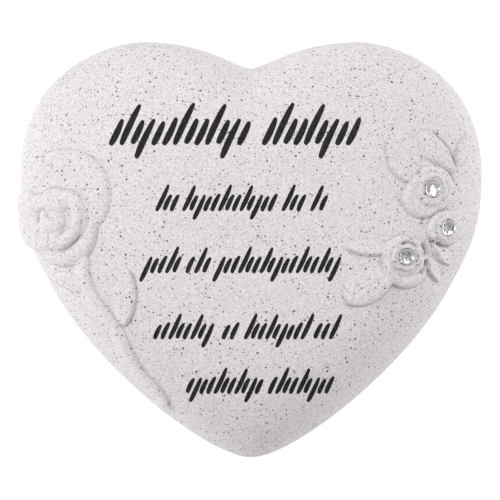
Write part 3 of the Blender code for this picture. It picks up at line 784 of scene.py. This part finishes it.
def make_speckles():
    group, given, made = group_with(
        "scattered_speckles",
        (("Vector", "NodeSocketVector", None), ("Cells per metre", "NodeSocketFloat", 400.0),
         ("Spot size", "NodeSocketFloat", 0.3), ("Share of cells", "NodeSocketFloat", 0.3),
         ("Softness", "NodeSocketFloat", 0.08)),
        (("Mask", "NodeSocketFloat"),),
    )
    wobble = group.nodes.new("ShaderNodeTexNoise")
    wobble.inputs["Detail"].default_value = 2.0
    wire(group, given.outputs["Vector"], wobble.inputs["Vector"])
    wobble_scale = maths(group, "MULTIPLY", given.outputs["Cells per metre"], WOBBLES_PER_CELL)
    wire(group, wobble_scale, wobble.inputs["Scale"])
    cells = group.nodes.new("ShaderNodeTexVoronoi")
    wire(group, given.outputs["Vector"], cells.inputs["Vector"])
    wire(group, given.outputs["Cells per metre"], cells.inputs["Scale"])
    chance = group.nodes.new("ShaderNodeSeparateColor")
    wire(group, cells.outputs["Color"], chance.inputs["Color"])
    present = maths(group, "LESS_THAN", chance.outputs["Red"], given.outputs["Share of cells"])
    variation = maths(group, "MULTIPLY", chance.outputs["Green"], SPOT_VARIATION)
    size = maths(group, "MULTIPLY", given.outputs["Spot size"], maths(group, "ADD", variation, SPOT_LEAST))
    swing = maths(group, "SUBTRACT", wobble.outputs["Fac"], 0.5)
    ragged = maths(group, "ADD", cells.outputs["Distance"], maths(group, "MULTIPLY", swing, SPOT_RAGGEDNESS))
    depth = maths(group, "SUBTRACT", size, ragged)
    inside = maths(group, "DIVIDE", depth, given.outputs["Softness"], clamp=True)
    wire(group, maths(group, "MULTIPLY", inside, present), made.inputs["Mask"])
    return group


def make_blotches():
    group, given, made = group_with(
        "soft_blotches",
        (("Vector", "NodeSocketVector", None), ("Scale", "NodeSocketFloat", 60.0),
         ("Detail", "NodeSocketFloat", 4.0)),
        (("Mask", "NodeSocketFloat"),),
    )
    noise = group.nodes.new("ShaderNodeTexNoise")
    wire(group, given.outputs["Vector"], noise.inputs["Vector"])
    wire(group, given.outputs["Scale"], noise.inputs["Scale"])
    wire(group, given.outputs["Detail"], noise.inputs["Detail"])
    spread = group.nodes.new("ShaderNodeMapRange")
    wire(group, noise.outputs["Fac"], spread.inputs["Value"])
    spread.inputs["From Min"].default_value = 0.35
    spread.inputs["From Max"].default_value = 0.65
    wire(group, spread.outputs["Result"], made.inputs["Mask"])
    return group


speckles = make_speckles()
blotches = make_blotches()
print("groups:", speckles.name, blotches.name)

# %% [markdown]
# ## The stone's finish
# Cast stone of this kind is pale warm grey with black, grey and white grains of different sizes. The
# colours are layered: base, soft blotches, then one layer of grains after another, and last painted shade
# in the creases, grey and near black in the deepest. The bump has a fine sandy grain and a shallow dip at
# each dark grain.

# %% Stone material
def new_material(name, roughness, metallic=0.0):
    material = bpy.data.materials.new(name)
    material.use_nodes = True
    tree = material.node_tree
    shader = tree.nodes["Principled BSDF"]
    shader.inputs["Roughness"].default_value = roughness
    shader.inputs["Metallic"].default_value = metallic
    place = tree.nodes.new("ShaderNodeTexCoord").outputs["Object"]
    return material, tree, shader, place


def use_group(tree, group, place, **values):
    node = tree.nodes.new("ShaderNodeGroup")
    node.node_tree = group
    wire(tree, place, node.inputs["Vector"])
    for label, value in values.items():
        node.inputs[label.replace("_", " ")].default_value = value
    return node.outputs["Mask"]


def blend_colour(tree, share, under, over):
    """Mixes a colour over another where a mask says so; each may be a socket or plain numbers."""
    node = tree.nodes.new("ShaderNodeMix")
    node.data_type = "RGBA"
    wire(tree, share, node.inputs["Factor"])
    for socket, value in ((node.inputs["A"], under), (node.inputs["B"], over)):
        if isinstance(value, tuple):
            socket.default_value = (*value, 1)
        else:
            wire(tree, value, socket)
    return node.outputs["Result"]


STONE_PALE = (0.830, 0.797, 0.790)
STONE_DEEP = (0.640, 0.610, 0.604)
GRAIN_WHITE = (0.92, 0.90, 0.89)
GRAIN_GREY = (0.45, 0.42, 0.42)
GRAIN_DARK = (0.075, 0.068, 0.068)
# Painted shade in the creases: grey where they are shallow, near black where they are deepest
CREASE_SHADE_GREY = (0.28, 0.265, 0.255)
CREASE_SHADE_DARK = (0.035, 0.030, 0.028)
CREASE_SHADE_GREY_SHARE = 0.75
CREASE_SHADE_DARK_START = 0.85
CREASE_SHADE_DARK_GAIN = 1.8
GRAIN_DIP = 0.6
STONE_SMOOTHEST = 0.70
STONE_ROUGHER = 0.14
# Colour, strength, cells per metre, spot size, share of cells and softness of each layer of grains
GRAINS = (
    (GRAIN_WHITE, 0.80, 1200.0, 0.42, 0.34, 0.20),
    (GRAIN_GREY, 0.78, 1350.0, 0.42, 0.46, 0.25),
    (GRAIN_DARK, 0.78, 800.0, 0.29, 0.62, 0.10),
    (GRAIN_DARK, 0.97, 500.0, 0.225, 0.60, 0.05),
)

stone_material, tree, shader, place = new_material("speckled_cast_stone", 0.78)
shader.inputs["Specular IOR Level"].default_value = 0.3
mottle = use_group(tree, blotches, place, Scale=1100.0, Detail=6.0)
colour = blend_colour(tree, mottle, STONE_DEEP, STONE_PALE)
for grain_colour, strength, cells, size, share, softness in GRAINS:
    grains = use_group(tree, speckles, place, Cells_per_metre=cells, Spot_size=size,
                       Share_of_cells=share, Softness=softness)
    colour = blend_colour(tree, maths(tree, "MULTIPLY", grains, strength), colour, grain_colour)
# Painted shade: the crease mask darkens the colour to grey, and the deepest creases to near black
crease_shade = tree.nodes.new("ShaderNodeAttribute")
crease_shade.attribute_name = "crease_shade"
grey_shade = maths(tree, "MINIMUM", crease_shade.outputs["Fac"], 1.0)
colour = blend_colour(tree, maths(tree, "MULTIPLY", grey_shade, CREASE_SHADE_GREY_SHARE), colour, CREASE_SHADE_GREY)
excess = maths(tree, "SUBTRACT", crease_shade.outputs["Fac"], CREASE_SHADE_DARK_START)
dark_shade = maths(tree, "MULTIPLY", excess, CREASE_SHADE_DARK_GAIN, clamp=True)
colour = blend_colour(tree, dark_shade, colour, CREASE_SHADE_DARK)
wire(tree, colour, shader.inputs["Base Color"])

sand = tree.nodes.new("ShaderNodeTexNoise")
sand.inputs["Scale"].default_value = 1500.0
sand.inputs["Detail"].default_value = 4.0
wire(tree, place, sand.inputs["Vector"])
relief = maths(tree, "SUBTRACT", sand.outputs["Fac"], maths(tree, "MULTIPLY", grains, GRAIN_DIP))
bump = tree.nodes.new("ShaderNodeBump")
bump.inputs["Strength"].default_value = 0.35
bump.inputs["Distance"].default_value = 0.12 * MM
wire(tree, relief, bump.inputs["Height"])
wire(tree, bump.outputs["Normal"], shader.inputs["Normal"])
worn = use_group(tree, blotches, place, Scale=240.0, Detail=3.0)
rougher = maths(tree, "MULTIPLY", worn, STONE_ROUGHER)
wire(tree, maths(tree, "ADD", rougher, STONE_SMOOTHEST), shader.inputs["Roughness"])
print("stone finish:", len(tree.nodes), "nodes")

# %% [markdown]
# ## The stone piece
# The mesh becomes an object, and one Boolean takes out all the bits at once. The modifier is applied
# straight away, because the steps after it read the finished mesh. The cut leaves faces with
# many corners round the strokes and seats. They are split into well-shaped triangles here, since a careless
# split lays some over others.

# %% Cutting the stone
SHARP_ANGLE = math.radians(48)


def apply_modifiers(piece):
    seen = piece.evaluated_get(bpy.context.evaluated_depsgraph_get())
    finished = bpy.data.meshes.new_from_object(seen)
    piece.modifiers.clear()
    old = piece.data
    piece.data = finished
    bpy.data.meshes.remove(old)


def split_wide_faces(bm):
    wide = [face for face in bm.faces if len(face.verts) > 4]
    bmesh.ops.triangulate(bm, faces=wide, ngon_method="BEAUTY")


split_wide_faces(stone_mesh)
stone = new_piece("speckled_heart", stone_mesh, stone_material)
bit_mesh = bpy.data.meshes.new("bits")
bits.to_mesh(bit_mesh)
bits.free()
bit_object = bpy.data.objects.new("bits", bit_mesh)
bpy.context.scene.collection.objects.link(bit_object)
boolean = stone.modifiers.new("strokes and seats", "BOOLEAN")
boolean.operation = "DIFFERENCE"
boolean.solver = "MANIFOLD"
boolean.object = bit_object
apply_modifiers(stone)
bpy.data.objects.remove(bit_object)
cut_mesh = bmesh.new()
cut_mesh.from_mesh(stone.data)
split_wide_faces(cut_mesh)
cut_mesh.to_mesh(stone.data)
cut_mesh.free()
stone.data.shade_smooth()
stone.data.set_sharp_from_angle(angle=SHARP_ANGLE)
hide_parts("heart_stone")
stone_triangles = sum(len(face.vertices) - 2 for face in stone.data.polygons)
print("stone:", stone_triangles, "triangles; after", round(time.time() - started, 1), "s")

# %% [markdown]
# ## Black paint in the strokes
# The paint fills each stroke as a thin dished skin: it climbs the wall almost to the stone's face and lies
# lower in the middle. Giving it its own mesh keeps its edge crisp, which a painted mask on the stone's mesh
# could not.

# %% Paint
PAINT_EDGE = 0.05 * MM
PAINT_DISH = 0.38 * MM
# Size and level of each ring of a stroke's paint: underside, edge, slope and dish
PAINT_RINGS = (
    (STROKE_FLOOR_SIZE, PAINT_EDGE - STROKE_DEPTH),
    (0.99, -PAINT_EDGE),
    (0.86, -0.7 * PAINT_DISH),
    (0.55, -PAINT_DISH),
)
PAINT_BLACK = (0.008, 0.007, 0.007)
PAINT_WORN = (0.030, 0.027, 0.025)
PAINT_SMOOTHEST = 0.45
PAINT_ROUGHER = 0.25

paint_material, tree, shader, place = new_material("black_brush_paint", 0.5)
shader.inputs["Specular IOR Level"].default_value = 0.18
worn = use_group(tree, blotches, place, Scale=900.0, Detail=4.0)
wire(tree, blend_colour(tree, worn, PAINT_BLACK, PAINT_WORN), shader.inputs["Base Color"])
rougher = maths(tree, "MULTIPLY", worn, PAINT_ROUGHER)
wire(tree, maths(tree, "ADD", rougher, PAINT_SMOOTHEST), shader.inputs["Roughness"])

paint_mesh = bmesh.new()
for x, y, length, width in all_strokes:
    rings = [stroke_ring(paint_mesh, x, y, length, width, size, level) for size, level in PAINT_RINGS]
    loft_stroke(paint_mesh, rings)
bmesh.ops.recalc_face_normals(paint_mesh, faces=paint_mesh.faces)
paint = new_piece("stroke_paint", paint_mesh, paint_material)
paint.data.shade_smooth()
print("paint:", sum(len(face.vertices) - 2 for face in paint.data.polygons), "triangles")

# %% [markdown]
# ## Glass and foil
# The crystals are clear lead glass, brilliant because it bends light more than window glass does, so its
# index is set higher. A real crystal of this kind has a silvered back. A separate foil cup behind the glass
# shows through it with the right distortion, which a painted back face could not.

# %% Crystal finishes
glass_material, tree, shader, place = new_material("clear_crystal", 0.02)
shader.inputs["Base Color"].default_value = (0.985, 0.98, 0.975, 1)
shader.inputs["Transmission Weight"].default_value = 1.0
shader.inputs["IOR"].default_value = 1.56
flow = tree.nodes.new("ShaderNodeTexNoise")
flow.inputs["Scale"].default_value = 700.0
wire(tree, place, flow.inputs["Vector"])
bump = tree.nodes.new("ShaderNodeBump")
bump.inputs["Strength"].default_value = 0.06
bump.inputs["Distance"].default_value = 0.05 * MM
wire(tree, flow.outputs["Fac"], bump.inputs["Height"])
wire(tree, bump.outputs["Normal"], shader.inputs["Normal"])

FOIL_DULL = (0.42, 0.41, 0.43)
FOIL_BRIGHT = (0.96, 0.95, 0.95)

foil_material, tree, shader, place = new_material("silver_foil", 0.26, metallic=1.0)
crinkle = use_group(tree, blotches, place, Scale=620.0, Detail=2.0)
wire(tree, blend_colour(tree, crinkle, FOIL_DULL, FOIL_BRIGHT), shader.inputs["Base Color"])
facets = tree.nodes.new("ShaderNodeTexVoronoi")
facets.inputs["Scale"].default_value = 650.0
wire(tree, place, facets.inputs["Vector"])
bump = tree.nodes.new("ShaderNodeBump")
bump.inputs["Strength"].default_value = 0.6
bump.inputs["Distance"].default_value = 0.35 * MM
wire(tree, facets.outputs["Distance"], bump.inputs["Height"])
wire(tree, bump.outputs["Normal"], shader.inputs["Normal"])
print("finishes:", glass_material.name, foil_material.name)

# %% [markdown]
# ## The crystals
# Each crystal is a flat-backed brilliant: a table, eight star facets, a thin girdle and a short back. Rings
# of points are placed at the facets' corners and wrapped in a convex hull, which finds the facets by
# itself. Each one is then set into its seat with the frame that also cut the seat.

# %% Crystals in their seats
FACETS = 8
CRYSTAL_TABLE_RADIUS = 1.9 * MM
CRYSTAL_STAR_RADIUS = 2.75 * MM
CRYSTAL_BACK_RADIUS = 2.2 * MM
CRYSTAL_GIRDLE = 0.3 * MM
CRYSTAL_STAR = 1.12 * MM
CRYSTAL_TABLE = 1.7 * MM
FLAT_ANGLE = math.radians(2)
FOIL_GAP = 0.1 * MM
FOIL_BRIM = 0.05 * MM
FOIL_THICKNESS = 0.05 * MM


def corner_ring(bm, count, radius, level, turn=0.0):
    place = Matrix.Translation((0, 0, level)) @ Matrix.Rotation(turn, 4, "Z")
    bmesh.ops.create_circle(bm, segments=count, radius=radius, matrix=place)


def cut_crystal():
    bm = bmesh.new()
    corner_ring(bm, FACETS, CRYSTAL_BACK_RADIUS, -CRYSTAL_BACK_DEPTH)
    corner_ring(bm, 2 * FACETS, CRYSTAL_RADIUS, 0)
    corner_ring(bm, 2 * FACETS, CRYSTAL_RADIUS, CRYSTAL_GIRDLE)
    corner_ring(bm, FACETS, CRYSTAL_STAR_RADIUS, CRYSTAL_STAR, math.pi / FACETS)
    corner_ring(bm, FACETS, CRYSTAL_TABLE_RADIUS, CRYSTAL_TABLE)
    for edge in list(bm.edges):
        bm.edges.remove(edge)
    bmesh.ops.convex_hull(bm, input=bm.verts)
    bmesh.ops.dissolve_limit(bm, angle_limit=FLAT_ANGLE, verts=bm.verts, edges=bm.edges)
    bmesh.ops.recalc_face_normals(bm, faces=bm.faces)
    return bm


def foil_cup():
    bm = bmesh.new()
    middle = Matrix.Translation((0, 0, -CRYSTAL_BACK_DEPTH / 2 - FOIL_GAP))
    bmesh.ops.create_cone(bm, cap_ends=True, segments=2 * FACETS, radius1=CRYSTAL_BACK_RADIUS + FOIL_GAP,
                          radius2=CRYSTAL_RADIUS + FOIL_BRIM, depth=CRYSTAL_BACK_DEPTH, matrix=middle)
    top = max(bm.faces, key=lambda face: face.calc_center_median().z)
    bmesh.ops.delete(bm, geom=[top], context="FACES_ONLY")
    bmesh.ops.solidify(bm, geom=bm.faces, thickness=FOIL_THICKNESS)
    bmesh.ops.recalc_face_normals(bm, faces=bm.faces)
    return bm


for name, place in seat_frames.items():
    crystal_mesh = cut_crystal()
    bmesh.ops.transform(crystal_mesh, matrix=place, verts=crystal_mesh.verts)
    crystal = new_piece("cut_crystal_" + name, crystal_mesh, glass_material)
    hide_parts("crystal_" + name)
    foil_mesh = foil_cup()
    bmesh.ops.transform(foil_mesh, matrix=place, verts=foil_mesh.verts)
    new_piece("foil_" + name, foil_mesh, foil_material)
    print(crystal.name, "with", len(crystal.data.polygons), "facets")

# %% [markdown]
# ## The table
# The photograph shows the stone from straight above on pure white. The table glows a little, as a lit
# acrylic sheet does, which lifts the stone's sides and swallows the shadow. A bright background alone would
# leave the sides dark. A hair's breadth below the stone keeps the two flat faces from flickering through
# each other.

# %% Table
TABLE_SIZE = 1.6
TABLE_GAP = 0.1 * MM

table_mesh = bmesh.new()
bmesh.ops.create_grid(table_mesh, x_segments=1, y_segments=1, size=TABLE_SIZE,
                      matrix=Matrix.Translation((0, 0, -TABLE_GAP)))
table_data = bpy.data.meshes.new("white_table")
table_mesh.to_mesh(table_data)
table_mesh.free()
table = bpy.data.objects.new("white_table", table_data)
bpy.context.scene.collection.objects.link(table)
table_material, tree, shader, place = new_material("white_acrylic", 0.6)
shader.inputs["Base Color"].default_value = (0.35, 0.35, 0.35, 1)
shader.inputs["Emission Color"].default_value = (1, 1, 1, 1)
shader.inputs["Emission Strength"].default_value = 0.82
table_data.materials.append(table_material)
print("table", 2 * TABLE_SIZE, "m wide")

# %% [markdown]
# ## The light
# The stone is brightest at its upper left and darkest at the tip. A low lamp at the left and a weaker one
# at the right, both a little towards the lobes, give that fall of light, and their low angle brings out the
# shallow carving. A pale surround fills the shadows, as a photographer's white tent does.

# %% Light
LAMP_SIZE = 0.7
LAMP_TARGET = Vector((0, 0, 0.03))


def area_light(name, place, power):
    light = bpy.data.lights.new(name, "AREA")
    light.shape = "DISK"
    light.size = LAMP_SIZE
    light.energy = power
    lamp = bpy.data.objects.new(name, light)
    lamp.location = place
    lamp.rotation_mode = "QUATERNION"
    lamp.rotation_quaternion = (LAMP_TARGET - Vector(place)).to_track_quat("-Z", "Y")
    bpy.context.scene.collection.objects.link(lamp)
    print(name, power, "W")


area_light("soft_key", (-1.05, 0.16, 0.74), 8.8)
area_light("soft_fill", (0.90, 0.50, 0.78), 6.5)
world = bpy.data.worlds.new("studio")
world.use_nodes = True
world.node_tree.nodes["Background"].inputs["Color"].default_value = (1, 1, 1, 1)
world.node_tree.nodes["Background"].inputs["Strength"].default_value = 0.49
bpy.context.scene.world = world
bpy.context.scene.view_settings.view_transform = "Standard"

# %% [markdown]
# ## The camera
# The camera looks straight down through a long lens from far above, so that the outline stays free of
# perspective while the sides of the tall parts still show a little. Its height follows from the size of one
# pixel on the stone.

# %% Camera
PHOTO_PIXELS = 500
HEART_PIXELS = 461.5
HEART_AXIS_PIXEL = (251.0, 249.65)
LENS = 400
SENSOR = 36

pixel = STONE_WIDTH / HEART_PIXELS
frame_width = PHOTO_PIXELS * pixel
camera_data = bpy.data.cameras.new("camera")
camera_data.lens = LENS
camera_data.sensor_width = SENSOR
camera = bpy.data.objects.new("camera", camera_data)
camera.location = (
    (PHOTO_PIXELS / 2 - HEART_AXIS_PIXEL[0]) * pixel,
    (HEART_AXIS_PIXEL[1] - PHOTO_PIXELS / 2) * pixel,
    WIDEST_HEIGHT + frame_width * LENS / SENSOR,
)
bpy.context.scene.collection.objects.link(camera)
bpy.context.scene.camera = camera
print("camera", round(camera.location.z, 2), "m above the table")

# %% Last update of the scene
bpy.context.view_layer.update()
print("made in", round(time.time() - started, 1), "s")
